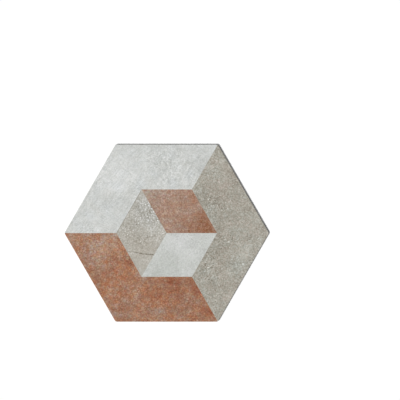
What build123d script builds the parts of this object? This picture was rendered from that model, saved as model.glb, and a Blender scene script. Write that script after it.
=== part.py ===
"""Hexagonal self-adhesive mosaic floor tile: one laminated vinyl sheet, cut to a regular hexagon.

Millimetres, +Z up. The origin is at the middle of the adhesive face, which lies on the floor. Two corners
point along X, and two straight edges lie parallel to X. The wear face is one plane, divided into the six
zones of its printed mosaic, three folded bands around three lozenges, so that each zone is a face.
"""

import math
import os

from build123d import *
from build123d.topology import SkipClean

# Outline in plan
ACROSS_FLATS = 200.0  # from one straight edge to the opposite one
CORNER_RADIUS = 3.0  # rounding of the six corners

# Section through the sheet
THICKNESS = 2.0  # wear face to adhesive face
EDGE_EASE = 0.3  # leg of the small bevel round the wear face

# Printed mosaic
INNER_ACROSS_FLATS = 98.5  # hexagon of three lozenges in the middle, a little under half the tile

SIDES = 6
TURN = 360 / SIDES  # degrees from one corner to the next

# Where each zone starts, in degrees from +X, turning anticlockwise
BAND_STARTS = {"pale": 60, "terracotta": 180, "taupe": 300}
LOZENGE_STARTS = {"terracotta": 0, "taupe": 120, "pale": 240}


def hexagon_corner(across_flats, degrees):
    """The corner at that bearing of a hexagon with the given size across its flats."""
    reach = across_flats / math.sqrt(3)
    bearing = math.radians(degrees)
    return (reach * math.cos(bearing), reach * math.sin(bearing))


def make_sheet():
    """The cut sheet: a hexagon with rounded corners and an eased edge round the wear face."""
    corners = [hexagon_corner(ACROSS_FLATS, TURN * i) for i in range(SIDES)]
    outline = make_face(Polyline(corners, close=True))
    outline = fillet(outline.vertices(), CORNER_RADIUS)
    sheet = extrude(outline, THICKNESS)
    return chamfer(sheet.faces().sort_by(Axis.Z)[-1].edges(), EDGE_EASE)


def band_outline(start):
    """A band folded round one corner: two corners' turn long, from the inner hexagon to the sheet's edge."""
    bearings = [start, start + TURN, start + 2 * TURN]
    outer = [hexagon_corner(ACROSS_FLATS, b) for b in bearings]
    inner = [hexagon_corner(INNER_ACROSS_FLATS, b) for b in bearings]
    return outer + inner[::-1]


def lozenge_outline(start):
    """A lozenge: the middle of the tile and three neighbouring corners of the inner hexagon."""
    bearings = [start, start + TURN, start + 2 * TURN]
    return [(0, 0)] + [hexagon_corner(INNER_ACROSS_FLATS, b) for b in bearings]


def divide_wear_face(sheet):
    """The sheet with its wear face divided along the outlines of the printed zones, and its shape unchanged.

    Each zone is a block sunk from the wear face into the sheet. Fused without merging the faces that share
    a plane, the blocks leave only their outlines on the wear face.
    """
    wear_face = sheet.faces().sort_by(Axis.Z)[-1]
    outlines = [band_outline(start) for start in BAND_STARTS.values()]
    outlines += [lozenge_outline(start) for start in LOZENGE_STARTS.values()]
    blocks = []
    for corners in outlines:
        zone = Plane.XY.offset(THICKNESS) * make_face(Polyline(corners, close=True))
        blocks += [extrude(face, -THICKNESS / 2) for face in (wear_face & zone).faces()]
    with SkipClean():
        return sheet.fuse(*blocks)


def main():
    """Builds the tile and writes it as one solid."""
    tile = divide_wear_face(make_sheet())
    os.makedirs("parts", exist_ok=True)
    export_step(tile, "parts/tile.step")


main()
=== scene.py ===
"""Looks of a hexagonal self-adhesive mosaic floor tile, dressed round its packed construction.

The tile is one laminated vinyl sheet: a printed film under a clear wear layer, on a filled vinyl core with an
adhesive coat below. The print is a mosaic in three stone looks, with three bands folded round three lozenges.
Lengths are in metres, +Z is up, and the origin is at the middle of the adhesive face. The print's own sizes
and places are in millimetres, since its patterns are worked out in millimetres. X and Y run as in the plan.
"""

import logging
import math
from abc import ABC, abstractmethod
from collections.abc import Mapping, Sequence
from dataclasses import dataclass, field
from enum import Enum, IntEnum
from typing import Protocol

import bpy
import numpy as np
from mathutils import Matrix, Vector, noise


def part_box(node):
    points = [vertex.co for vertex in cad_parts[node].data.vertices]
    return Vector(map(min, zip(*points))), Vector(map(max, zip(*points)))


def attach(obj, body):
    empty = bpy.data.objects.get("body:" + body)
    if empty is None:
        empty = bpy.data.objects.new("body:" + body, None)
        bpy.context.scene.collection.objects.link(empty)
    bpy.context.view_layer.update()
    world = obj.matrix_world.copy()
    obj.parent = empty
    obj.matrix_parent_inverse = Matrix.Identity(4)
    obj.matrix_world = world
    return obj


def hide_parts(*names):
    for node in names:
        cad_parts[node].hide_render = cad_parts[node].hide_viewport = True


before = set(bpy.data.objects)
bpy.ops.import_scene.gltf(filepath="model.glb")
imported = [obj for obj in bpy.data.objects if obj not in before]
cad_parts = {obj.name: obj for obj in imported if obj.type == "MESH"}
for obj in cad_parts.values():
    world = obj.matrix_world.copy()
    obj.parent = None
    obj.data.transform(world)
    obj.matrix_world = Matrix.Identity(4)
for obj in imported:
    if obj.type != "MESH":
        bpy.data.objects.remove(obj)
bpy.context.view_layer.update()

LOG = logging.getLogger("mosaic_tile")

MM = 0.001
SIDES = 6
TURN = 360 / SIDES
HALF_TURN = math.radians(TURN / 2)
EYE_SHARES = (0.2126, 0.7152, 0.0722)  # how much red, green and blue light each count to the eye
STUDIO_GLARE = 0.031  # what the wear layer's gloss adds to every printed colour, in linear light
MIDDLE = 0.5  # the value about which a random pattern varies, and a print's tone too

Colour = tuple[float, float, float]
Place = tuple[float, float]
Span = tuple[float, float]


def linear(colour: Colour, glare: float = 0.0) -> tuple[float, float, float, float]:
    """A colour as the eye reads it, from 0 to 255, in the renderer's linear light, by the sRGB curve.

    Args:
        colour: Red, green and blue from 0 to 255.
        glare: Light that the surface's gloss adds, taken off beforehand.

    Returns:
        Linear red, green and blue, and an alpha of 1.
    """
    shares = [c / 255 for c in colour]
    lit = [s / 12.92 if s <= 0.04045 else ((s + 0.055) / 1.055) ** 2.4 for s in shares]
    return (*(max(v - glare, 0.0) for v in lit), 1.0)


def light_given_back(colour: Colour) -> float:
    """How much light a printed colour gives back, of white's 1, without the gloss over it."""
    return sum(share * light for share, light in zip(EYE_SHARES, linear(colour, STUDIO_GLARE)))


def put(name: str, data: bpy.types.ID) -> bpy.types.Object:
    """Puts a mesh, a light or a camera into the scene.

    Args:
        name: The object's name.
        data: What the object shows or is.

    Returns:
        The object.
    """
    made = bpy.data.objects.new(name, data)
    bpy.context.scene.collection.objects.link(made)
    return made


@dataclass(frozen=True)
class Tone:
    """A value or colour on its way through a finish. Arithmetic on it adds Math nodes."""

    recipe: "Recipe"
    socket: bpy.types.NodeSocket

    def __add__(self, other: "Feed") -> "Tone":
        """The sum of the two."""
        return self.recipe.reckoned("ADD", self, other)

    __radd__ = __add__

    def __sub__(self, other: "Feed") -> "Tone":
        """This less the other."""
        return self.recipe.reckoned("SUBTRACT", self, other)

    def __rsub__(self, other: "Feed") -> "Tone":
        """The other less this."""
        return self.recipe.reckoned("SUBTRACT", other, self)

    def __mul__(self, other: "Feed") -> "Tone":
        """The two multiplied."""
        return self.recipe.reckoned("MULTIPLY", self, other)

    __rmul__ = __mul__


Feed = Tone | float | Sequence[float]
Settings = Mapping[str, object]
Sockets = Mapping[str | int, Feed]


class Layer(Protocol):
    """Anything that lightens or darkens a print."""

    def shade(self, recipe: "Recipe", at: Tone) -> Tone:
        """What it adds to the tone at a place."""


class Slope(Enum):
    """How a value goes from 0 to 1 between two ends."""

    EVEN = "LINEAR"
    EASED = "SMOOTHSTEP"


class Blend(Enum):
    """How a second colour acts on a first."""

    COVER = "MIX"
    TINT = "MULTIPLY"


class MixSocket(IntEnum):
    """The numbers of the Mix node's sockets for its share and for colours."""

    SHARE = 0
    FIRST = 6
    SECOND = 7
    RESULT = 2


class Recipe:
    """The node tree of one finish, or of the surroundings."""

    def __init__(self, owner: bpy.types.Material | bpy.types.World) -> None:
        """Takes over a node tree and empties it.

        Args:
            owner: The material or the world that the tree belongs to.
        """
        owner.use_nodes = True
        self.owner = owner
        self.tree = owner.node_tree
        self.tree.nodes.clear()

    def node(self, kind: str, settings: Settings, sockets: Sockets) -> bpy.types.Node:
        """Adds a node.

        Args:
            kind: The node's type.
            settings: The node's own settings, set before its sockets; stops are a colour ramp's.
            sockets: A value or a link for each input that differs from its default.

        Returns:
            The node.
        """
        made = self.tree.nodes.new(kind)
        for name, value in settings.items():
            if name == "stops":
                self._set_stops(made.color_ramp, value)
            else:
                setattr(made, name, value)
        for name, value in sockets.items():
            if isinstance(value, Tone):
                self.tree.links.new(value.socket, made.inputs[name])
            else:
                made.inputs[name].default_value = value
        return made

    @staticmethod
    def _set_stops(ramp: bpy.types.ColorRamp, stops: Sequence[tuple[float, Sequence[float]]]) -> None:
        """Gives a colour ramp its stops.

        Args:
            ramp: The ramp, with the two stops that it comes with.
            stops: Each stop's place from 0 to 1 and its linear colour.
        """
        while len(ramp.elements) < len(stops):
            ramp.elements.new(1.0)
        for element, (place, colour) in zip(ramp.elements, stops):
            element.position = place
            element.color = colour

    def out(self, node: bpy.types.Node, name: str | int = 0) -> Tone:
        """One output of a node."""
        return Tone(self, node.outputs[name])

    def read(self, kind: str, settings: Settings, sockets: Sockets, name: str | int = 0) -> Tone:
        """One output of a node that is added for it."""
        return self.out(self.node(kind, settings, sockets), name)

    def reckoned(self, operation: str, first: Feed, second: Feed) -> Tone:
        """The Math node behind the signs of arithmetic."""
        return self.read("ShaderNodeMath", {"operation": operation}, {0: first, 1: second})

    def vector(self, operation: str, first: Feed, second: Feed, output: str = "Vector") -> Tone:
        """Vector Math on two vectors, read at the output that is named."""
        return self.read("ShaderNodeVectorMath", {"operation": operation}, {0: first, 1: second}, output)

    def scaled(self, vector: Feed, factor: Feed) -> Tone:
        """A vector times a number."""
        return self.read("ShaderNodeVectorMath", {"operation": "SCALE"}, {0: vector, "Scale": factor})

    def step(self, value: Feed, start: float, end: float, slope: Slope = Slope.EASED) -> Tone:
        """How far a value has come from start to end, held to between 0 and 1.

        Args:
            value: What is read.
            start: Where the result is 0.
            end: Where the result is 1; it may be below start.
            slope: How the result goes from 0 to 1.

        Returns:
            The share from 0 to 1.
        """
        settings = {"interpolation_type": slope.value, "clamp": True}
        sockets = {"Value": value, "From Min": start, "From Max": end}
        return self.read("ShaderNodeMapRange", settings, sockets)

    def mixed(self, share: Feed, first: Feed, second: Feed, blend: Blend = Blend.COVER) -> Tone:
        """The first colour with a share of the second in it.

        Args:
            share: How much of the second, from 0 to 1.
            first: The first colour.
            second: The second colour.
            blend: How the second acts on the first.

        Returns:
            The colour.
        """
        settings = {"data_type": "RGBA", "blend_type": blend.value}
        sockets = {MixSocket.SHARE: share, MixSocket.FIRST: first, MixSocket.SECOND: second}
        return self.read("ShaderNodeMix", settings, sockets, MixSocket.RESULT)

    def place(self, seed: float = 0.0) -> Tone:
        """Where the surface is, in millimetres, in the patterns' slice that lies that far off the tile."""
        here = self.read("ShaderNodeTexCoord", {}, {}, "Object")
        return self.vector("ADD", self.scaled(here, 1 / MM), (0, 0, seed))

    def grain(
        self,
        at: Tone,
        size: float,
        detail: float = 0.0,
        coarse: float = 0.5,
        output: str = "Fac",
    ) -> Tone:
        """A soft random pattern.

        Args:
            at: Where it is read.
            size: About how far it is from one rise to the next, in millimetres.
            detail: How many finer patterns are laid over it.
            coarse: How strong each finer pattern is beside the last.
            output: Fac for one value, about 0.5; Color for three.

        Returns:
            The pattern's value.
        """
        sockets = {"Vector": at, "Scale": 1 / size, "Detail": detail, "Roughness": coarse}
        return self.read("ShaderNodeTexNoise", {}, sockets, output)

    def stray(self, at: Tone, size: float, reach: float) -> Tone:
        """Three random values about 0, up to about the reach, from a pattern of that size."""
        push = self.vector("SUBTRACT", self.grain(at, size, detail=1.0, output="Color"), (MIDDLE,) * 3)
        return self.scaled(push, 2 * reach)

    def warped(self, at: Tone, size: float, reach: float) -> Tone:
        """A place pushed aside at random, so that round shapes read there come out uneven."""
        return self.vector("ADD", at, self.stray(at, size, reach))

    def in_plan(self, at: Tone, size: float = 8.0, reach: float = 4.5) -> Tone:
        """A place in plan, pushed aside at random, for what is drawn at a spot of its own."""
        return self.vector("MULTIPLY", self.warped(at, size, reach), (1, 1, 0))

    def total(self, at: Tone, layers: Sequence[Layer]) -> Tone | float:
        """What several layers add to the tone at a place, all together, 0 if there are none."""
        return sum((layer.shade(self, at) for layer in layers), 0.0)

    def finish(self, colour: Tone, roughness: Feed, relief: Tone, depth: float, ior: float = 1.5) -> None:
        """Puts the surface together.

        Args:
            colour: Its colour.
            roughness: Its roughness.
            relief: Its fine relief, which counts only by how it rises and falls.
            depth: How high a rise of 1 in the relief is, in millimetres.
            ior: Its index of refraction, the same all over.
        """
        height = {"Strength": 1.0, "Distance": depth * MM, "Height": relief}
        normal = self.read("ShaderNodeBump", {}, height)
        sockets = {"Base Color": colour, "Roughness": roughness, "IOR": ior, "Normal": normal}
        surface = self.read("ShaderNodeBsdfPrincipled", {}, sockets)
        self.node("ShaderNodeOutputMaterial", {}, {"Surface": surface})


@dataclass(frozen=True)
class Patch:
    """A soft stretch of the print that is paler or darker than the rest, in millimetres from the middle."""

    x: float
    y: float
    radius: float
    tone: float  # above 0 is paler, below 0 darker
    core: float = 0.1  # share of the radius within which it is at its strongest
    rim: float = 1.5  # radii at which it has faded out

    def shade(self, recipe: Recipe, at: Tone) -> Tone:
        """What the patch adds to the tone, fading out towards its rim."""
        away = recipe.vector("DISTANCE", at, (self.x, self.y, 0), "Value")
        return recipe.step(away, self.rim * self.radius, self.core * self.radius) * self.tone


@dataclass(frozen=True)
class Hairline:
    """A fine dark line in the print through a few points, in millimetres from the middle."""

    points: tuple[Place, ...]
    width: float
    strength: float
    wander: float = 0.3  # how far it strays from the straight way, in millimetres
    jag: float = 3.0  # from one turn of its straying to the next, in millimetres
    flank: Span = (0.8, 0.2)  # from its middle to where it starts to show and is full, in widths
    thinning: Span = (0.3, 0.55)  # the pattern's values at which it is thin and full
    thin: float = 0.4  # how much of its strength it has where it is thin

    def _gap(self, recipe: Recipe, at: Tone, start: Place, end: Place) -> Tone:
        """How far a place is from one straight stretch.

        Args:
            recipe: The finish.
            at: The place.
            start: Where the stretch starts.
            end: Where it ends.

        Returns:
            The distance in millimetres.
        """
        along = Vector((*end, 0)) - Vector((*start, 0))
        from_start = recipe.vector("SUBTRACT", at, (*start, 0))
        reached = recipe.vector("DOT_PRODUCT", from_start, along, "Value")
        share = recipe.step(reached, 0, along.length_squared, Slope.EVEN)
        return recipe.vector("DISTANCE", from_start, recipe.scaled(tuple(along), share), "Value")

    def shade(self, recipe: Recipe, at: Tone) -> Tone:
        """How strongly the line shows.

        Args:
            recipe: The finish.
            at: The place.

        Returns:
            0 beside the line, up to its strength on it, less where it thins out.
        """
        strayed = recipe.in_plan(at, self.jag, self.wander)
        shown = 0.0
        for start, end in zip(self.points, self.points[1:]):
            gap = self._gap(recipe, strayed, start, end)
            stretch = recipe.step(gap, *(widths * self.width for widths in self.flank))
            shown = recipe.reckoned("MAXIMUM", stretch, shown)
        full = recipe.step(recipe.grain(at, 2 * self.jag), *self.thinning)
        return shown * (full * (1 - self.thin) + self.thin) * self.strength


@dataclass(frozen=True)
class Specks:
    """Single grains strewn over a print: one to a cell, in some of the cells."""

    cell: float  # spacing in millimetres
    radius: float  # of a grain, in millimetres
    share: float  # of the cells that hold one
    strength: float
    core: float = 0.4  # share of the radius within which a grain is at its strongest
    faint: float = 0.1  # share of the cells that hold a fainter one, out of those

    def shade(self, recipe: Recipe, at: Tone, crowd: Feed = 0.0) -> Tone:
        """Where the grains are.

        Args:
            recipe: The finish.
            at: The place.
            crowd: How much the share of cells that hold a grain rises here.

        Returns:
            0 beside the grains, up to the strength on them.
        """
        cells = recipe.node("ShaderNodeTexVoronoi", {}, {"Vector": at, "Scale": 1 / self.cell})
        lot = recipe.read("ShaderNodeSeparateColor", {}, {0: recipe.out(cells, "Color")}, "Red")
        held = recipe.step(lot + crowd, 1 - self.share, 1 + self.faint - self.share)
        rim = self.radius / self.cell
        return recipe.step(recipe.out(cells, "Distance"), rim, self.core * rim) * held * self.strength


@dataclass(frozen=True)
class Stones:
    """Single pale grains in a print, each at a place of its own, in millimetres from the middle."""

    places: tuple[Place, ...]
    radius: float
    gain: float
    core: float = 0.3  # share of the radius within which a grain is at its strongest
    lump: float = 1.5  # from one lump of their outlines to the next, in millimetres
    roughened: float = 0.5  # how uneven their outlines are, in millimetres

    def shade(self, recipe: Recipe, at: Tone) -> Tone:
        """What they add to the tone."""
        near = recipe.in_plan(at, self.lump, self.roughened)
        return recipe.total(near, [Patch(*p, self.radius, self.gain, self.core, 1.0) for p in self.places])


@dataclass(frozen=True)
class Grain:
    """One scale of unevenness, in millimetres from one rise to the next."""

    size: float
    gain: float
    detail: float = 0.0  # how many finer patterns are laid over it
    coarse: float = 0.5  # how strong each finer pattern is beside the last

    def value(self, recipe: Recipe, at: Tone) -> Tone:
        """The pattern's value before its gain, about the middle of 0 to 1."""
        return recipe.grain(at, self.size, self.detail, self.coarse)

    def shade(self, recipe: Recipe, at: Tone) -> Tone:
        """What it adds to the tone."""
        return (self.value(recipe, at) - MIDDLE) * self.gain


@dataclass(frozen=True)
class Strokes:
    """Fine streaks that run one way, as a trowel leaves them, over some stretches of a print."""

    bearing: float  # the way they run, in degrees from +X
    length: float
    width: float
    gain: float
    stretch: float = 26.0  # size of the stretches that have them, in millimetres
    shown: Span = (0.42, 0.6)  # the pattern's values at which there are none and at which they are full
    bend: Span = (30.0, 5.0)  # size of the pattern that bends them, and how far it does, in millimetres

    def shade(self, recipe: Recipe, at: Tone) -> Tone:
        """What they add to the tone.

        Args:
            recipe: The finish.
            at: The place.

        Returns:
            A tone about 0, and none outside the stretches that have them.
        """
        sockets = {"Vector": recipe.warped(at, *self.bend), "Angle": -math.radians(self.bearing)}
        turned = recipe.read("ShaderNodeVectorRotate", {"rotation_type": "Z_AXIS"}, sockets)
        drawn = recipe.vector("MULTIPLY", turned, (self.width / self.length, 1, 1))
        elsewhere = recipe.vector("ADD", at, (0, 0, self.bearing))
        shown = recipe.step(recipe.grain(elsewhere, self.stretch, detail=1.0), *self.shown)
        return (recipe.grain(drawn, self.width, detail=1.0) - MIDDLE) * shown * self.gain


@dataclass(frozen=True)
class Veins:
    """A broken net of fine lines over one stretch of a print, like crazing or the gaps between grains."""

    x: float
    y: float
    radius: float
    mesh: float  # from one line to the next, in millimetres
    width: float
    gain: float  # above 0 the lines are paler, below 0 darker
    core: float = 0.2  # share of the width within which a line is at its strongest
    bend: float = 0.5  # how far the lines stray, in meshes
    breaks: float = 0.7  # size of the pattern that breaks them, in meshes
    shown: Span = (0.42, 0.58)  # the pattern's values at which they are broken and at which they are full

    def shade(self, recipe: Recipe, at: Tone) -> Tone:
        """What they add to the tone.

        Args:
            recipe: The finish.
            at: The place.

        Returns:
            0 beside the lines, up to the gain on them.
        """
        bent = recipe.warped(at, self.mesh, self.bend * self.mesh)
        net = {"Vector": bent, "Scale": 1 / self.mesh}
        away = recipe.read("ShaderNodeTexVoronoi", {"feature": "DISTANCE_TO_EDGE"}, net, "Distance")
        rim = self.width / self.mesh
        lines = recipe.step(away, rim, self.core * rim)
        unbroken = recipe.step(recipe.grain(at, self.breaks * self.mesh, detail=1.0), *self.shown)
        stretch = Patch(self.x, self.y, self.radius, self.gain).shade(recipe, recipe.in_plan(at))
        return lines * unbroken * stretch


@dataclass(frozen=True)
class Finish(ABC):
    """The look of one kind of surface."""

    name: str

    @abstractmethod
    def dress(self, recipe: Recipe) -> None:
        """Fills in the finish's recipe."""

    def material(self) -> bpy.types.Material:
        """Makes the finish.

        Returns:
            The material.
        """
        recipe = Recipe(bpy.data.materials.new(self.name))
        self.dress(recipe)
        return recipe.owner


@dataclass(frozen=True)
class StonePrint(Finish):
    """A printed stone look under the wear layer: its tone runs from a dark to a pale shade of one colour."""

    seed: float
    dark: Colour
    base: Colour
    pale: Colour
    warm: Colour  # what the base colour turns to where the print leans warm
    cool: Colour
    sand: Grain  # the finest, stronger in the drifts
    grains: tuple[Grain, ...]
    leanings: tuple[Grain, ...]  # how the print leans from warm to cool at several scales
    patches: tuple[Patch, ...] = ()
    casts: tuple[Patch, ...] = ()  # where it leans warm, above 0, or cool, below 0
    hairlines: tuple[Hairline, ...] = ()
    marks: tuple[Layer, ...] = ()
    pores: Specks = Specks(1.9, 0.6, 0.1, 0.1)
    grits: Specks = Specks(2.3, 0.6, 0.06, 0.1)
    outline: Span = (0.9, 0.5)  # size of the lumps of the pores' and grits' outlines, and how uneven they are
    crowding: Grain = Grain(12.0, 0.6, 1.0)  # how unevenly the pores and grits are strewn
    drifts: tuple[Patch, ...] = ()  # where they lie thicker, above 0, or thinner, below 0
    drift_gain: float = 2.0  # how much stronger the sand is in the drifts
    sand_hue: float = 1.0  # share of the sand that changes the hue too; the rest only dims or lights
    hue_seed: float = 300.0  # how far off, in millimetres, the patterns of the hue are read
    freckles: float = 0.03  # how far red, green and blue each stray in the finest grains
    freckle_size: float = 1.4
    roughness: float = 0.6
    gloss: Grain = Grain(6.0, 0.12, 2.0)  # how the roughness varies
    emboss: tuple[Grain, ...] = (Grain(0.9, 0.6, 2.0, 0.6), Grain(3.2, 0.5, 1.0))
    pore_depth: float = 0.8  # beside the emboss, like the cracks' own
    crack_depth: float = 0.6
    relief_depth: float = 0.05
    ior: float = 1.45

    def _tinted(self, recipe: Recipe, at: Tone, colour: Tone) -> Tone:
        """The colour where it leans warm or cool, and strays a little from grain to grain.

        Args:
            recipe: The finish.
            at: The place.
            colour: The colour that it had.

        Returns:
            The colour that it has.
        """
        beside = recipe.vector("ADD", at, (0, 0, self.hue_seed))
        lean = recipe.total(beside, self.leanings) + recipe.total(recipe.in_plan(at), self.casts)
        for shade, end in ((self.warm, 1.0), (self.cool, -1.0)):
            ratio = [new / old for new, old in zip(linear(shade), linear(self.base))]
            colour = recipe.mixed(recipe.step(lean, 0.0, end, Slope.EVEN), colour, ratio, Blend.TINT)
        strayed = recipe.stray(beside, self.freckle_size, self.freckles)
        return recipe.vector("MULTIPLY", colour, recipe.vector("ADD", strayed, (1, 1, 1)))

    def dress(self, recipe: Recipe) -> None:
        """Fills in the print's recipe.

        Args:
            recipe: The recipe.
        """
        at = recipe.place(self.seed)
        in_plan = recipe.in_plan(at)
        crowd = self.crowding.shade(recipe, at) + recipe.total(in_plan, self.drifts)
        uneven = recipe.warped(at, *self.outline)
        pores = self.pores.shade(recipe, uneven, crowd)
        grits = self.grits.shade(recipe, uneven, crowd)
        cracks = recipe.total(at, self.hairlines)
        broad = recipe.total(at, (*self.grains, *self.marks)) + recipe.total(in_plan, self.patches)
        sand = self.sand.shade(recipe, at) * (crowd * self.drift_gain + 1.0)
        tone = broad + sand * self.sand_hue + MIDDLE - pores + grits - cracks
        shades = zip((0.0, MIDDLE, 1.0), (self.dark, self.base, self.pale))
        stops = [(place, linear(shade, STUDIO_GLARE)) for place, shade in shades]
        printed = recipe.read("ShaderNodeValToRGB", {"stops": stops}, {0: tone})
        contrast = light_given_back(self.pale) / light_given_back(self.dark)
        lit = recipe.reckoned("POWER", contrast, sand * (1 - self.sand_hue))
        colour = self._tinted(recipe, at, recipe.scaled(printed, lit))
        relief = recipe.total(at, self.emboss) - pores * self.pore_depth - cracks * self.crack_depth
        roughness = self.gloss.shade(recipe, at) + self.roughness
        recipe.finish(colour, roughness, relief, self.relief_depth, self.ior)


@dataclass(frozen=True)
class CoreFinish(Finish):
    """The die-cut side of the filled vinyl core: grey, chalky, with pale filler grains and drag marks."""

    name: str = "filled_vinyl_core"
    base: Colour = (112, 110, 107)
    streak: Colour = (138, 135, 130)
    grain: Colour = (198, 195, 188)
    drag: Grain = Grain(0.35, 0.15, 2.0, 0.6)  # the die's drag marks, and how much rougher they are
    drag_width: float = 0.15  # beside their length, down the edge
    streaked: Span = (0.3, 0.75)  # the drag's values at which the core has its base and its streak colour
    filler: Specks = Specks(0.5, 0.12, 0.4, 0.6)
    filler_outline: Span = (0.25, 0.08)  # size of the lumps of its grains' outlines, and how uneven they are
    filler_height: float = 0.4  # beside the drag marks
    roughness: float = 0.62  # the least
    relief_depth: float = 0.04

    def dress(self, recipe: Recipe) -> None:
        """Fills in the core's recipe.

        Args:
            recipe: The recipe.
        """
        at = recipe.place()
        drag = self.drag.value(recipe, recipe.vector("MULTIPLY", at, (1, 1, self.drag_width)))
        chalk = recipe.mixed(recipe.step(drag, *self.streaked), linear(self.base), linear(self.streak))
        grains = self.filler.shade(recipe, recipe.warped(at, *self.filler_outline))
        colour = recipe.mixed(grains, chalk, linear(self.grain))
        roughness = drag * self.drag.gain + self.roughness
        recipe.finish(colour, roughness, drag + grains * self.filler_height, self.relief_depth)


@dataclass(frozen=True)
class FilmFinish(Finish):
    """The cut edge of the white base of the printed film."""

    name: str = "film_edge"
    base: Colour = (206, 203, 196)
    soiled: Colour = (168, 163, 154)
    soil: Grain = Grain(2.5, 0.1, 3.0, 0.65)  # where it is soiled, and how much rougher it is there
    soiling: Span = (0.35, 0.7)  # the soil's values at which the film is clean and at which it is soiled
    tooth: Grain = Grain(0.4, 1.0, 1.0)
    roughness: float = 0.45  # the least
    relief_depth: float = 0.02

    def dress(self, recipe: Recipe) -> None:
        """Fills in the film's recipe.

        Args:
            recipe: The recipe.
        """
        at = recipe.place()
        soil = self.soil.value(recipe, at)
        colour = recipe.mixed(recipe.step(soil, *self.soiling), linear(self.base), linear(self.soiled))
        roughness = soil * self.soil.gain + self.roughness
        recipe.finish(colour, roughness, self.tooth.value(recipe, at), self.relief_depth)


@dataclass(frozen=True)
class AdhesiveFinish(Finish):
    """The pressure-sensitive adhesive: a cream coat, with the streaks and dimples of the coating roller."""

    name: str = "adhesive_coat"
    base: Colour = (206, 198, 178)
    thick: Colour = (188, 177, 150)
    streaks: Grain = Grain(2.6, 0.6, 3.0, 0.6)  # along the roller's way, and how much thicker they are
    streak_width: float = 0.06  # beside their length
    blotches: Grain = Grain(17.0, 0.4, 3.0, 0.55)
    thickening: Span = (0.35, 0.65)  # the thicknesses at which it has its base and its thick colour
    dimple: float = 1.4  # from one dimple to the next, in millimetres
    roughness: float = 0.28  # the least
    roughness_spread: float = 0.2
    relief_depth: float = 0.025
    ior: float = 1.47

    def dress(self, recipe: Recipe) -> None:
        """Fills in the adhesive's recipe.

        Args:
            recipe: The recipe.
        """
        at = recipe.place()
        streaks = self.streaks.value(recipe, recipe.vector("MULTIPLY", at, (self.streak_width, 1, 1)))
        blotches = self.blotches.value(recipe, at)
        thickness = streaks * self.streaks.gain + blotches * self.blotches.gain
        cells = {"Vector": at, "Scale": 1 / self.dimple}
        dimples = recipe.read("ShaderNodeTexVoronoi", {"feature": "SMOOTH_F1"}, cells, "Distance")
        colour = recipe.mixed(recipe.step(thickness, *self.thickening), linear(self.base), linear(self.thick))
        roughness = blotches * self.roughness_spread + self.roughness
        recipe.finish(colour, roughness, streaks + dimples, self.relief_depth, self.ior)


class Zone(Enum):
    """The printed zones: each one's first bearing in degrees, and whether it is in the middle of the tile."""

    PALE_BAND = (60, False)
    TERRACOTTA_BAND = (180, False)
    TAUPE_BAND = (300, False)
    TERRACOTTA_LOZENGE = (0, True)
    TAUPE_LOZENGE = (120, True)
    PALE_LOZENGE = (240, True)

    def __init__(self, start: float, middle: bool) -> None:
        """Keeps the two under names of their own."""
        self.start = start
        self.middle = middle

    @classmethod
    def at(cls, bearings: np.ndarray, inner: np.ndarray) -> np.ndarray:
        """The zones' numbers, in the order above.

        Args:
            bearings: Degrees from +X, anticlockwise.
            inner: Whether each place is within the middle hexagon.

        Returns:
            One number for each place.
        """
        found = np.zeros(len(bearings), int)
        for number, zone in enumerate(cls):
            found[((bearings - zone.start) % 360 < 2 * TURN) & (inner == zone.middle)] = number
        return found


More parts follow.
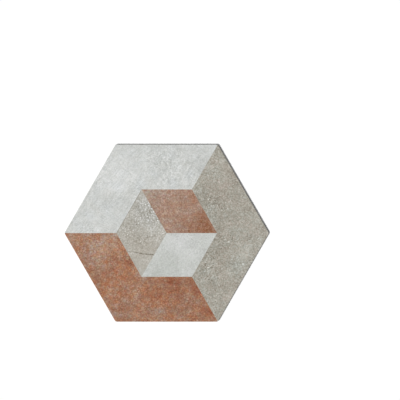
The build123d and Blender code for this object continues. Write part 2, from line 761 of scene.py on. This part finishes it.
PRINTS: dict[Zone, StonePrint] = {
    Zone.PALE_BAND: StonePrint(
        "pale_cement_band",
        seed=11.0,
        dark=(153, 155, 150),
        base=(202, 204, 201),
        pale=(240, 241, 240),
        warm=(203, 204, 200),
        cool=(201, 204, 203),
        sand=Grain(1.6, 0.64, 3.0),
        grains=(Grain(3.4, 0.16), Grain(7.0, 0.15), Grain(14.0, 0.12), Grain(32.0, 0.14)),
        leanings=(Grain(12.0, 2.0),),
        marks=(
            Strokes(50, 14.0, 1.5, 0.5),
            Strokes(-35, 12.0, 1.5, 0.4),
            Strokes(75, 9.0, 1.7, 0.3),
            Veins(8, 74, 24, 5.0, 0.9, 0.22),
            Veins(-30, 42, 12, 5.0, 0.8, 0.14),
        ),
        drifts=(Patch(2, 76, 24, 0.25),),
        patches=(
            Patch(-60, 64, 24, 0.15), Patch(-30, 60, 12, 0.06), Patch(-84, 16, 16, 0.07),
            Patch(-53, 30, 11, -0.05), Patch(13, 73, 7, 0.03), Patch(40, 77, 14, -0.11),
            Patch(2, 80, 17, -0.05),
        ),
    ),
    Zone.TERRACOTTA_BAND: StonePrint(
        "terracotta_band",
        seed=57.0,
        dark=(124, 68, 38),
        base=(156, 117, 94),
        pale=(184, 161, 145),
        warm=(165, 115, 84),
        cool=(150, 120, 104),
        sand=Grain(1.6, 1.36, 3.0),
        sand_hue=0.5,
        freckles=0.19,
        freckle_size=2.2,
        grains=(Grain(3.4, 0.44), Grain(7.0, 0.35), Grain(14.0, 0.2)),
        leanings=(Grain(1.9, 2.5, 1.0), Grain(5.0, 2.1), Grain(12.0, 2.2)),
        pores=Specks(1.9, 0.55, 0.12, 0.25),
        grits=Specks(2.3, 0.55, 0.08, 0.25),
        patches=(
            Patch(-78, -10, 26, 0.15), Patch(-90, -4, 8, 0.06), Patch(-62, -8, 9, 0.1),
            Patch(-80, -28, 9, 0.08), Patch(-62, -28, 9, -0.14), Patch(-47, -42, 9, -0.05),
            Patch(-72, -60, 8, -0.07), Patch(-55, -73, 7, 0.08), Patch(-50, -88, 11, -0.11),
            Patch(-26, -90, 8, 0.07), Patch(-21, -66, 7, -0.12), Patch(-25, -52, 6, 0.1),
            Patch(-8, -72, 9, -0.07), Patch(9, -59, 14, -0.27), Patch(4, -92, 8, -0.1),
            Patch(24, -80, 18, -0.03), Patch(48, -89, 9, -0.22), Patch(34, -59, 11, -0.22),
        ),
        casts=(
            Patch(-90, -4, 9, -0.4), Patch(-80, -28, 11, -0.3), Patch(-61, -28, 8, 0.33),
            Patch(-47, -42, 9, 0.4), Patch(-67, -64, 13, 0.4), Patch(-50, -88, 11, -0.7),
            Patch(-22, -65, 8, 0.85), Patch(-8, -72, 8, 0.3), Patch(-24, -52, 6, -0.6),
            Patch(13, -61, 8, -0.2), Patch(-1, -51, 7, 0.4), Patch(4, -92, 7, 0.65),
            Patch(20, -80, 12, -0.75), Patch(33, -60, 9, -0.4),
        ),
    ),
    Zone.TAUPE_BAND: StonePrint(
        "taupe_stone_band",
        seed=93.0,
        dark=(100, 91, 78),
        base=(164, 160, 149),
        pale=(219, 217, 209),
        warm=(168, 159, 148),
        cool=(161, 161, 152),
        sand=Grain(1.5, 1.04, 3.0),
        grains=(Grain(3.2, 0.12), Grain(7.0, 0.13), Grain(14.0, 0.12), Grain(32.0, 0.08)),
        leanings=(Grain(2.4, 2.0), Grain(13.0, 1.2)),
        patches=(
            Patch(54, 77, 11, 0.05), Patch(54, 49, 9, 0.04), Patch(62, 30, 18, 0.01),
            Patch(76, 40, 8, -0.06), Patch(66, -8, 11, 0.04), Patch(88, -19, 9, 0.18),
            Patch(80, -36, 10, 0.05), Patch(49, -37, 11, 0.15), Patch(95, 8, 8, 0.04),
        ),
        casts=(
            Patch(60, 48, 14, 0.5), Patch(43, 30, 9, -0.3), Patch(80, -36, 12, -0.7), Patch(94, 9, 9, 0.5),
        ),
        marks=(
            Veins(46, -38, 18, 2.8, 0.6, -0.26),
            Veins(62, -8, 12, 2.8, 0.6, -0.2),
            Veins(52, 36, 16, 2.8, 0.6, -0.18),
            Stones(((70, -10), (47, -39), (86, -35)), 1.5, 0.5),
            Stones(((53, -48), (85, -44), (71, -16), (47, 38), (61, 32)), 1.2, 0.28),
        ),
        pores=Specks(1.9, 0.6, 0.12, 0.48),
        grits=Specks(2.3, 0.6, 0.07, 0.55),
        drifts=(Patch(59, 29, 14, 0.12), Patch(49, -36, 15, 0.15), Patch(48, -2, 12, 0.12)),
    ),
    Zone.TERRACOTTA_LOZENGE: StonePrint(
        "terracotta_lozenge",
        seed=131.0,
        dark=(124, 78, 46),
        base=(162, 134, 118),
        pale=(193, 180, 168),
        warm=(167, 130, 105),
        cool=(155, 136, 123),
        sand=Grain(1.6, 1.14, 3.0),
        sand_hue=0.4,
        freckles=0.12,
        freckle_size=2.4,
        grains=(Grain(3.4, 0.38), Grain(7.0, 0.26), Grain(14.0, 0.2)),
        leanings=(Grain(1.9, 1.7, 1.0), Grain(6.0, 1.2), Grain(12.0, 0.8)),
        patches=(
            Patch(-19, 41, 18, 0.12), Patch(21, 34, 6, -0.08), Patch(31, 42, 8, -0.19),
            Patch(5, 29, 8, -0.07), Patch(-7, 20, 6, -0.03), Patch(44, 9, 18, -0.3),
            Patch(22, 4, 10, -0.06),
        ),
        casts=(
            Patch(-19, 41, 17, -0.4), Patch(31, 42, 8, 0.4), Patch(42, 11, 18, 0.15), Patch(2, 26, 10, 0.3),
        ),
    ),
    Zone.TAUPE_LOZENGE: StonePrint(
        "taupe_stone_lozenge",
        seed=177.0,
        dark=(118, 112, 100),
        base=(179, 176, 167),
        pale=(238, 237, 233),
        warm=(181, 175, 164),
        cool=(178, 177, 171),
        sand=Grain(1.5, 1.0, 3.0),
        grains=(Grain(3.2, 0.14), Grain(7.0, 0.12), Grain(14.0, 0.1)),
        leanings=(Grain(2.4, 1.0), Grain(13.0, 0.8)),
        patches=(
            Patch(-12, 14, 14, 0.08), Patch(-22, 37, 13, 0.1), Patch(-36, -8, 14, -0.09),
            Patch(-19, -19, 8, -0.05), Patch(-29, -35, 10, -0.04),
        ),
        casts=(Patch(-18, 26, 26, -0.8), Patch(-32, -18, 24, 0.6)),
        hairlines=(
            Hairline(
                points=((-44, -21), (-38, -20.6), (-32, -22.4), (-27, -23.4), (-20, -24.4), (-13, -24)),
                width=1.1,
                strength=0.38,
                wander=1.3,
            ),
            Hairline(points=((-28.4, 49.2), (-56.8, 0)), width=1.2, strength=0.27),
        ),
        marks=(
            Veins(-14, 26, 19, 2.6, 0.6, -0.3),
            Stones(((-49, 5), (-47, 2), (-41, 0), (-32, 12), (-35, 16), (-29, 17), (-22, 19)), 1.1, 0.2),
            Stones(((-24, 32), (-20, 31), (-17, 27), (-15, 17), (-10, 14), (-5, 2), (-3, 0)), 1.1, 0.26),
        ),
        pores=Specks(1.9, 0.6, 0.14, 0.5),
        grits=Specks(2.1, 0.7, 0.12, 0.66),
        drifts=(Patch(-14, 26, 18, 0.3), Patch(-42, 6, 10, 0.1), Patch(-29, -36, 14, -0.3)),
    ),
    Zone.PALE_LOZENGE: StonePrint(
        "pale_cement_lozenge",
        seed=219.0,
        dark=(150, 152, 146),
        base=(198, 200, 196),
        pale=(234, 236, 233),
        warm=(197, 200, 195),
        cool=(199, 200, 198),
        sand=Grain(1.6, 0.68, 3.0),
        grains=(Grain(3.4, 0.16), Grain(7.0, 0.15), Grain(14.0, 0.16)),
        leanings=(Grain(10.0, 1.0),),
        marks=(Strokes(40, 12.0, 1.5, 0.2),),
        patches=(
            Patch(12, -12, 14, 0.08), Patch(0, -38, 16, -0.1), Patch(-17, -42, 11, -0.08),
            Patch(33, -26, 9, 0.04),
        ),
        casts=(Patch(16, -8, 18, -0.8), Patch(2, -38, 16, 0.7)),
    ),
}


@dataclass(frozen=True)
class HexPlan:
    """The tile's outline in plan: a regular hexagon with rounded corners, two of them on X."""

    across_flats: float
    corner_radius: float

    @staticmethod
    def _off_flat(bearings: np.ndarray) -> np.ndarray:
        """How far each bearing is from square to the nearest straight edge, in radians."""
        return np.abs((bearings % (2 * HALF_TURN)) - HALF_TURN)

    def reach(self, bearings: np.ndarray, inset: float | np.ndarray = 0.0) -> np.ndarray:
        """How far the outline is from the middle.

        Args:
            bearings: Where to, in radians from +X.
            inset: How far the outline is pulled in.

        Returns:
            One distance for each bearing.
        """
        off_flat = self._off_flat(bearings)
        flat = self.across_flats / 2 - inset
        radius = np.maximum(self.corner_radius - inset, 0)
        straight = flat / np.cos(off_flat)
        middle = (flat - radius) / math.cos(HALF_TURN)
        off_corner = HALF_TURN - off_flat
        across = np.minimum(middle * np.sin(off_corner), radius)
        rounded = middle * np.cos(off_corner) + np.sqrt(radius**2 - across**2)
        on_arc = flat * np.tan(off_flat) > (flat - radius) * math.tan(HALF_TURN)
        return np.where(on_arc, rounded, straight)

    def sharp_reach(self, bearings: np.ndarray) -> np.ndarray:
        """How far the hexagon would reach at those bearings with sharp corners."""
        return self.across_flats / 2 / np.cos(self._off_flat(bearings))

    def outline(self, bearings: np.ndarray, inset: float | np.ndarray = 0.0) -> np.ndarray:
        """The outline's places at those bearings, in plan."""
        reach = self.reach(bearings, inset)
        return np.column_stack([reach * np.cos(bearings), reach * np.sin(bearings)])

    def share(self, places: np.ndarray) -> np.ndarray:
        """Places in plan, at a scale where the sharp corners are at a reach of 1."""
        return places * math.sqrt(3) / self.across_flats


class Lattice:
    """A triangular grid that fills a hexagon in rings about its middle, with corners at a reach of 1."""

    HALFWAY = 0.5  # how far out the ring is that can be moved onto the middle hexagon

    def __init__(self, rings: int) -> None:
        """Lays out the grid.

        Args:
            rings: How many rings of triangles there are from the middle to the rim.
        """
        span = np.arange(-rings, rings + 1)
        east, north = (g.ravel() for g in np.meshgrid(span, span, indexing="ij"))
        inside = np.abs(east + north) <= rings
        self.rings = rings
        self.steps = np.stack([east[inside], north[inside]], 1)
        # The points' numbers by their steps, with a border of -1 where there are none
        self.index = np.full((2 * rings + 3, 2 * rings + 3), -1)
        self.index[tuple((self.steps + rings + 1).T)] = np.arange(len(self.steps))

    def places(self) -> np.ndarray:
        """The grid points in plan."""
        east, north = self.steps.T / self.rings
        return np.stack([east + north / 2, north * math.sqrt(3) / 2], 1)

    def depth(self, steps: np.ndarray) -> np.ndarray:
        """How far out each place's ring is, from 0 to 1 on the rim, from its steps on the grid."""
        east, north = steps.T
        return np.max([np.abs(east), np.abs(north), np.abs(east + north)], 0) / self.rings

    def triangles(self) -> np.ndarray:
        """The triangles, anticlockwise from above.

        Returns:
            The numbers of each one's three grid points.
        """
        here, east = self.index[:-1, :-1], self.index[1:, :-1]
        north, beyond = self.index[:-1, 1:], self.index[1:, 1:]
        first = np.stack([here, east, north], -1).reshape(-1, 3)
        second = np.stack([east, beyond, north], -1).reshape(-1, 3)
        both = np.concatenate([first, second])
        return both[(both >= 0).all(1)]

    def fade(self, rings: float) -> np.ndarray:
        """0 at the grid points on the rim, rising to 1 over that many rings."""
        return np.clip((1 - self.depth(self.steps)) * self.rings / rings, 0, 1)

    def rim(self) -> np.ndarray:
        """The rim's points, anticlockwise from the corner on +X.

        Returns:
            Their numbers among the grid points.
        """
        found = np.flatnonzero(self.depth(self.steps) == 1)
        x, y = self.places()[found].T
        return found[np.argsort(np.arctan2(y, x) % math.tau)]

    def fitted(self, plan: HexPlan, inset: float, middle: float = HALFWAY, band: float = 0.1) -> np.ndarray:
        """The grid laid over the tile, its rim on the outline.

        Args:
            plan: The outline.
            inset: How far the rim is pulled in from it.
            middle: How far out the ring halfway out is moved, as a share of the way to the rim.
            band: Outer share of the grid that follows the rounded corners.

        Returns:
            The grid points in plan.
        """
        places, depth = self.places(), self.depth(self.steps)
        bearings = np.arctan2(places[:, 1], places[:, 0])
        moved = np.interp(depth, (0.0, self.HALFWAY, 1.0), (0.0, middle, 1.0))
        stretch = np.divide(moved, depth, out=np.ones_like(depth), where=depth > 0)
        rounding = plan.reach(bearings, inset) / plan.sharp_reach(bearings)
        near_rim = np.clip((depth - 1 + band) / band, 0, 1)
        eased = near_rim**2 * (3 - 2 * near_rim)
        corner_reach = plan.across_flats / math.sqrt(3)
        return places * (corner_reach * stretch * (1 + (rounding - 1) * eased))[:, None]


@dataclass(frozen=True)
class MapPlan:
    """Where the wear face, the back and the six edge strips lie on the texture map, from 0 to 1."""

    margin: float = 0.01
    face_width: float = 0.84
    back_width: float = 0.27
    strip_width: float = 0.6
    strip_pitch: float = 0.04
    strip_height: float = 0.03

    def _above_face(self) -> float:
        """How high the rows above the wear face start."""
        return 2 * self.margin + self.face_width * math.cos(HALF_TURN)

    def _hexagon(self, share: np.ndarray, width: float, low: float) -> np.ndarray:
        """The places of a hexagon of that width and lower side, from places in plan at a reach of 1."""
        half = width / 2
        return share * half + (self.margin + half, low + half * math.cos(HALF_TURN))

    def face(self, share: np.ndarray) -> np.ndarray:
        """The wear face's places, from places in plan at a reach of 1."""
        return self._hexagon(share, self.face_width, self.margin)

    def back(self, share: np.ndarray) -> np.ndarray:
        """The back's places, from places in plan at a reach of 1."""
        return self._hexagon(share, self.back_width, self._above_face())

    def strip(self, side: int, along: np.ndarray, down: np.ndarray) -> np.ndarray:
        """The places on one edge strip.

        Args:
            side: The side's number.
            along: How far along the side each place is, from 0 to 1.
            down: How far down the edge each place is, from 0 to 1.

        Returns:
            One place on the map for each.
        """
        left = 3 * self.margin + self.back_width
        low = self._above_face() + side * self.strip_pitch
        return np.stack([left + along * self.strip_width, low + down * self.strip_height], -1)


@dataclass
class SheetMesh:
    """One closed mesh in the making, with each face's finish and its place on the texture map."""

    map_plan: MapPlan = MapPlan()
    materials: list[bpy.types.Material] = field(default_factory=list)
    points: list[np.ndarray] = field(default_factory=list)
    faces: list[list[int]] = field(default_factory=list)
    places: list[np.ndarray] = field(default_factory=list)
    finishes: list[int] = field(default_factory=list)
    count: int = 0

    def add_finish(self, material: bpy.types.Material) -> int:
        """Adds a finish and gives its number."""
        self.materials.append(material)
        return len(self.materials) - 1

    def add_points(self, plan: np.ndarray, height: float | np.ndarray) -> np.ndarray:
        """Adds points.

        Args:
            plan: Their x and y.
            height: Their z, one for all or one for each.

        Returns:
            Their numbers in the mesh.
        """
        first = self.count
        self.points.append(np.column_stack([plan, np.broadcast_to(height, len(plan))]))
        self.count += len(plan)
        return np.arange(first, self.count)

    def add_face(self, corners: Sequence[int], places: np.ndarray, finish: int) -> None:
        """Adds one face.

        Args:
            corners: The numbers of its points, anticlockwise from outside.
            places: Where its corners are on the texture map.
            finish: Its finish's number.
        """
        self.faces.append([int(c) for c in corners])
        self.places.append(places)
        self.finishes.append(int(finish))

    def make(self, name: str, crease: float) -> bpy.types.Object:
        """Makes the mesh and puts it in the scene.

        Args:
            name: The piece's name.
            crease: The angle in radians above which an edge is drawn sharp.

        Returns:
            The piece.
        """
        mesh = bpy.data.meshes.new(name)
        mesh.from_pydata(np.concatenate(self.points).tolist(), [], self.faces)
        for material in self.materials:
            mesh.materials.append(material)
        mesh.polygons.foreach_set("material_index", self.finishes)
        mesh.polygons.foreach_set("use_smooth", [True] * len(self.faces))
        layer = mesh.uv_layers.new(name="OFBake")
        layer.uv.foreach_set("vector", np.concatenate(self.places).astype(np.float32).ravel())
        mesh.set_sharp_from_angle(angle=crease)
        mesh.validate()
        mesh.update()
        return put(name, mesh)


@dataclass(frozen=True)
class Swell:
    """One scale of a face's unevenness, as the press plate and the core leave it."""

    size: float  # from one rise to the next
    depth: float  # from the highest places to the lowest

    def dip(self, places: np.ndarray, seed: float) -> np.ndarray:
        """How far each place in plan lies below the highest, in the slice of the pattern at the seed."""
        values = [noise.noise(Vector((x, y, seed))) for x, y in places / self.size]
        return self.depth * (1 - np.clip(values, -1, 1)) / 2


@dataclass(frozen=True)
class Hoop:
    """A ring of points all round the sheet, anticlockwise from the corner on +X."""

    numbers: np.ndarray  # in the mesh
    bearings: np.ndarray  # from the middle, in radians from +X


@dataclass
class WearFace:
    """The printed wear face: the mosaic's six zones on one plane, with the press plate's faint swell."""

    plan: HexPlan
    height: float
    inset: float  # from the outline to its rim, where the eased edge starts
    inner_across_flats: float  # hexagon of the three lozenges
    rings: int = 128
    swells: tuple[Swell, ...] = (
        Swell(28 * MM, 0.03 * MM),
        Swell(6 * MM, 0.02 * MM),
        Swell(2.4 * MM, 0.012 * MM),
    )
    flat_rings: int = 4  # outer rings over which the swell fades out

    def build(self, mesh: SheetMesh, prints: np.ndarray) -> Hoop:
        """Builds the face and gives each zone its print.

        Args:
            mesh: The mesh that it goes into.
            prints: The finishes' numbers, in the zones' order.

        Returns:
            Its rim.
        """
        lattice = Lattice(self.rings)
        places = lattice.fitted(self.plan, self.inset, self.inner_across_flats / self.plan.across_flats)
        dip = sum(swell.dip(places, seed) for seed, swell in enumerate(self.swells))
        numbers = mesh.add_points(places, self.height - dip * lattice.fade(self.flat_rings))
        corners = lattice.triangles()
        inner = lattice.depth(lattice.steps[corners].mean(1)) < Lattice.HALFWAY
        middles = places[corners].mean(1)
        zones = Zone.at(np.degrees(np.arctan2(middles[:, 1], middles[:, 0])), inner)
        on_map = mesh.map_plan.face(self.plan.share(places))
        for face, finish in zip(corners, prints[zones]):
            mesh.add_face(numbers[face], on_map[face], finish)
        rim = lattice.rim()
        around = lattice.places()[rim]
        return Hoop(numbers[rim], np.arctan2(around[:, 1], around[:, 0]))


class EdgeLayer(Enum):
    """What the sheet's edge shows, from the wear face down."""

    PRINT = "print"
    FILM = "film"
    CORE = "core"
    ADHESIVE = "adhesive"


@dataclass(frozen=True)
class EdgeStrip:
    """One strip of the edge's section, from the strip above it down to its own foot."""

    layer: EdgeLayer
    foot: float  # height of its foot
    inset: float  # of its foot from the outline


@dataclass
class CutEdge:
    """The sheet's edge: the eased rim of the print, the film's white line, the core and the adhesive."""

    plan: HexPlan
    thickness: float
    ease: float  # leg of the bevel round the wear face
    film: float = 0.08 * MM
    adhesive: float = 0.14 * MM
    core_recess: float = 0.02 * MM
    adhesive_recess: float = 0.07 * MM
    foot_recess: float = 0.105 * MM
    shoulder: float = 0.3  # share of the adhesive's height from which it draws in to its foot
    rounding: tuple[Place, ...] = ((0.1, 0.86), (0.9, 0.06), (1.0, 0.0))  # its turns down and in, in eases
    core_strips: int = 5
    wander: float = 0.03 * MM  # how unevenly the die cuts the core
    wander_size: float = 1.9 * MM

    def _section(self) -> list[EdgeStrip]:
        """The edge's section.

        Returns:
            Its strips from the wear face down.
        """
        core_top = self.thickness - self.ease - self.film
        turns = [(self.thickness - down * self.ease, inwards * self.ease) for down, inwards in self.rounding]
        bevel = [EdgeStrip(EdgeLayer.PRINT, height, inset) for height, inset in turns]
        film = [EdgeStrip(EdgeLayer.FILM, core_top, 0.0)]
        heights = np.linspace(core_top, self.adhesive, self.core_strips + 1)
        core = [EdgeStrip(EdgeLayer.CORE, height, self.core_recess) for height in heights]
        core += [EdgeStrip(EdgeLayer.CORE, self.adhesive, self.adhesive_recess)]
        adhesive = [
            EdgeStrip(EdgeLayer.ADHESIVE, self.shoulder * self.adhesive, self.adhesive_recess),
            EdgeStrip(EdgeLayer.ADHESIVE, 0.0, self.foot_recess),
        ]
        return bevel + film + core + adhesive

    def _wander(self, bearings: np.ndarray, height: float) -> np.ndarray:
        """How far the cut strays inwards at each bearing, at one height."""
        places = self.plan.outline(bearings) / self.wander_size
        return self.wander * np.array([1 + noise.noise(Vector((x, y, height / MM))) for x, y in places]) / 2

    def build(self, mesh: SheetMesh, rim: Hoop, prints: np.ndarray) -> Hoop:
        """Builds the edge and gives each strip its finish.

        Args:
            mesh: The mesh that it goes into.
            rim: The wear face's rim.
            prints: The prints' numbers, in the zones' order.

        Returns:
            The edge's foot.
        """
        count = len(rim.numbers)
        half_step = math.pi / count
        bands = prints[Zone.at(np.degrees(rim.bearings + half_step), np.zeros(count, bool))]
        others = (FilmFinish(), CoreFinish(), AdhesiveFinish())
        finishes = {EdgeLayer.PRINT: bands}
        for layer, finish in zip((EdgeLayer.FILM, EdgeLayer.CORE, EdgeLayer.ADHESIVE), others):
            finishes[layer] = np.full(count, mesh.add_finish(finish.material()))
        section = self._section()
        turns = np.array([(self.thickness, self.ease), *((strip.foot, strip.inset) for strip in section)])
        run = np.concatenate([[0.0], np.cumsum(np.hypot(*np.diff(turns, axis=0).T))])
        down = run / run[-1]
        above = rim.numbers
        for number, strip in enumerate(section):
            stray = self._wander(rim.bearings, strip.foot) if strip.layer is EdgeLayer.CORE else 0.0
            below = mesh.add_points(self.plan.outline(rim.bearings, strip.inset + stray), strip.foot)
            self._add_strip(mesh, above, below, down[number : number + 2], finishes[strip.layer])
            above = below
        return Hoop(above, rim.bearings)

    def _add_strip(
        self,
        mesh: SheetMesh,
        above: np.ndarray,
        below: np.ndarray,
        down: np.ndarray,
        finishes: np.ndarray,
    ) -> None:
        """Joins two rings of points with faces.

        Args:
            mesh: The mesh that they go into.
            above: The numbers of the upper ring's points.
            below: The numbers of the lower ring's points.
            down: How far down the edge the two rings are, as shares of its run.
            finishes: The number of each face's finish.
        """
        count = len(above)
        per_side = count // SIDES
        for here in range(count):
            after = (here + 1) % count
            side, step = divmod(here, per_side)
            along = np.array([step, step, step + 1, step + 1]) / per_side
            on_map = mesh.map_plan.strip(side, along, down[[0, 1, 1, 0]])
            corners = (above[here], below[here], below[after], above[after])
            mesh.add_face(corners, on_map, finishes[here])


@dataclass
class AdhesiveBack:
    """The adhesive face, which closes the sheet from below."""

    plan: HexPlan
    inset: float  # from the outline to the edge's foot
    border: float = 0.6 * MM  # flat stretch between the edge's foot and the grid
    rings: int = 32
    swells: tuple[Swell, ...] = (Swell(18 * MM, 0.03 * MM),)
    first_seed: int = 50  # which slice of the pattern the first swell reads
    flat_rings: int = 4  # outer rings over which the swell fades out

    def build(self, mesh: SheetMesh, foot: Hoop, finish: int) -> None:
        """Builds the face.

        Args:
            mesh: The mesh that it goes into.
            foot: The edge's foot.
            finish: The adhesive's number.
        """
        lattice = Lattice(self.rings)
        places = lattice.fitted(self.plan, self.inset + self.border)
        rise = sum(swell.dip(places, seed) for seed, swell in enumerate(self.swells, self.first_seed))
        numbers = mesh.add_points(places, rise * lattice.fade(self.flat_rings))
        on_map = mesh.map_plan.back(self.plan.share(places))
        for face in lattice.triangles()[:, ::-1]:
            mesh.add_face(numbers[face], on_map[face], finish)
        outer_map = mesh.map_plan.back(self.plan.share(self.plan.outline(foot.bearings, self.inset)))
        rim = lattice.rim()
        per_step = len(foot.numbers) // len(rim)
        for here in range(len(rim)):
            after = (here + 1) % len(rim)
            outer = [(here * per_step + k) % len(foot.numbers) for k in range(per_step, -1, -1)]
            corners = [numbers[rim[here]], numbers[rim[after]], *foot.numbers[outer]]
            mesh.add_face(corners, np.concatenate([on_map[rim[[here, after]]], outer_map[outer]]), finish)


@dataclass(frozen=True)
class MosaicTile:
    """The tile: one laminated sheet with a printed wear face, an eased and die-cut edge and a sticky back."""

    plan: HexPlan
    thickness: float
    inner_across_flats: float = 98.5 * MM
    ease: float = 0.3 * MM
    crease: float = math.radians(25)

    def build(self) -> bpy.types.Object:
        """Builds and dresses the tile.

        Returns:
            The piece.
        """
        mesh = SheetMesh()
        prints = np.array([mesh.add_finish(PRINTS[zone].material()) for zone in Zone])
        face = WearFace(self.plan, self.thickness, self.ease, self.inner_across_flats)
        edge = CutEdge(self.plan, self.thickness, self.ease)
        back = AdhesiveBack(self.plan, edge.foot_recess)
        rim = face.build(mesh, prints)
        foot = edge.build(mesh, rim, prints)
        back.build(mesh, foot, mesh.finishes[-1])
        return mesh.make("mosaic_tile", self.crease)


@dataclass(frozen=True)
class Photograph:
    """How the tile lies in the photograph, in pixels of its 400 by 400 frame."""

    frame_width: float = 400.0
    tile_across_flats: float = 177.3
    tile_middle: Place = (166.7, 233.1)


@dataclass
class Studio:
    """A pale floor under soft light from the lower left, and a camera that looks straight down."""

    tile_across_flats: float
    tile_thickness: float
    photograph: Photograph = Photograph()
    floor_reach: float = 8.0
    floor_gap: float = 0.01 * MM
    floor_colour: float = 0.97
    floor_lift: float = 0.05  # what brings the floor up to white for the camera
    sun_elevation: float = 46.0
    sun_bearing: float = 214.0  # where the light comes from, in degrees from +X
    sun_spread: float = 16.0  # how wide the light is, in degrees
    sun_distance: float = 2.0
    sky: float = 0.14  # share of the light on the floor that comes from all round
    camera_height: float = 3.0
    camera_sight: float = 30.0  # how far it sees
    sensor: float = 36.0  # the camera's, in millimetres

    def _seen(self, recipe: Recipe) -> Tone:
        """Where the camera, a reflection or clear material looks.

        Args:
            recipe: The finish.

        Returns:
            1 there, and 0 for the light that falls on things.
        """
        path = recipe.node("ShaderNodeLightPath", {}, {})
        seen = sum(recipe.out(path, f"Is {kind} Ray") for kind in ("Camera", "Glossy", "Transmission"))
        return recipe.step(seen, 0, 1, Slope.EVEN)

    def floor(self) -> bpy.types.Object:
        """Lays the floor: matt and pale, and brought up to white for the camera, with its shadows left in.

        Returns:
            The floor.
        """
        mesh = bpy.data.meshes.new("studio_floor")
        reach, low = self.floor_reach, -self.floor_gap
        corners = [(-reach, -reach, low), (reach, -reach, low), (reach, reach, low), (-reach, reach, low)]
        mesh.from_pydata(corners, [], [(0, 1, 2, 3)])
        recipe = Recipe(bpy.data.materials.new("studio_floor"))
        grey = (self.floor_colour,) * 3
        matt = recipe.read("ShaderNodeBsdfDiffuse", {}, {"Color": (*grey, 1)})
        glow = recipe.read("ShaderNodeEmission", {}, {"Strength": self.floor_lift})
        lifted = recipe.read("ShaderNodeAddShader", {}, {0: matt, 1: glow})
        shown = recipe.read("ShaderNodeMixShader", {}, {0: self._seen(recipe), 1: matt, 2: lifted})
        recipe.node("ShaderNodeOutputMaterial", {}, {"Surface": shown})
        mesh.materials.append(recipe.owner)
        floor = put("studio_floor", mesh)
        return floor

    def sun(self) -> bpy.types.Object:
        """Hangs the main light, as strong as brings the floor's light to 1 with the sky's.

        Returns:
            The light.
        """
        light = bpy.data.lights.new("softbox", "SUN")
        height = math.radians(self.sun_elevation)
        light.energy = (1 - self.sky) * math.pi / math.sin(height)
        light.angle = math.radians(self.sun_spread)
        lamp = put("softbox", light)
        bearing = math.radians(self.sun_bearing)
        level = math.cos(height)
        away = Vector((level * math.cos(bearing), level * math.sin(bearing), math.sin(height)))
        lamp.rotation_euler = away.to_track_quat("Z", "Y").to_euler()
        lamp.location = away * self.sun_distance
        return lamp

    def backdrop(self) -> bpy.types.World:
        """Makes the surroundings: soft light on the tile, and white where the camera or a reflection looks.

        Returns:
            The world.
        """
        world = bpy.data.worlds.new("studio")
        recipe = Recipe(world)
        soft, white = (
            recipe.read("ShaderNodeBackground", {}, {"Color": (1, 1, 1, 1), "Strength": strength})
            for strength in (self.sky, 1.0)
        )
        shown = recipe.read("ShaderNodeMixShader", {}, {0: self._seen(recipe), 1: soft, 2: white})
        recipe.node("ShaderNodeOutputWorld", {}, {"Surface": shown})
        bpy.context.scene.world = world
        return world

    def camera(self) -> bpy.types.Object:
        """Sets the camera over the tile, with the tile where the photograph has it.

        Returns:
            The camera.
        """
        photo = self.photograph
        pixel = self.tile_across_flats / photo.tile_across_flats
        data = bpy.data.cameras.new("camera")
        data.sensor_width = self.sensor
        data.lens = self.sensor * self.camera_height / (photo.frame_width * pixel)
        data.clip_end = self.camera_sight
        camera = put("camera", data)
        right = (photo.frame_width / 2 - photo.tile_middle[0]) * pixel
        up = (photo.tile_middle[1] - photo.frame_width / 2) * pixel
        camera.location = (right, up, self.tile_thickness + self.camera_height)
        bpy.context.scene.camera = camera
        return camera


def main() -> None:
    """Builds the tile and its studio, and reports each."""
    logging.basicConfig(level=logging.INFO, format="%(name)s: %(message)s")
    low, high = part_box("tile")
    across_flats, tip_to_tip = high.y - low.y, high.x - low.x
    rounded_off = (2 * across_flats / math.sqrt(3) - tip_to_tip) / 2
    plan = HexPlan(across_flats, rounded_off / (1 / math.cos(HALF_TURN) - 1))
    LOG.info("plan: %.1f mm across flats, corner radius %.2f mm", across_flats / MM, plan.corner_radius / MM)

    piece = MosaicTile(plan, high.z - low.z).build()
    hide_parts("tile")
    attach(piece, "root")
    LOG.info("%s: %d faces, %d finishes", piece.name, len(piece.data.polygons), len(piece.data.materials))

    studio = Studio(across_flats, high.z - low.z)
    for made in (studio.floor(), studio.sun(), studio.backdrop(), studio.camera()):
        LOG.info("studio: %s", made.name)
    bpy.context.scene.view_settings.view_transform = "Standard"


if __name__ == "__main__":
    main()
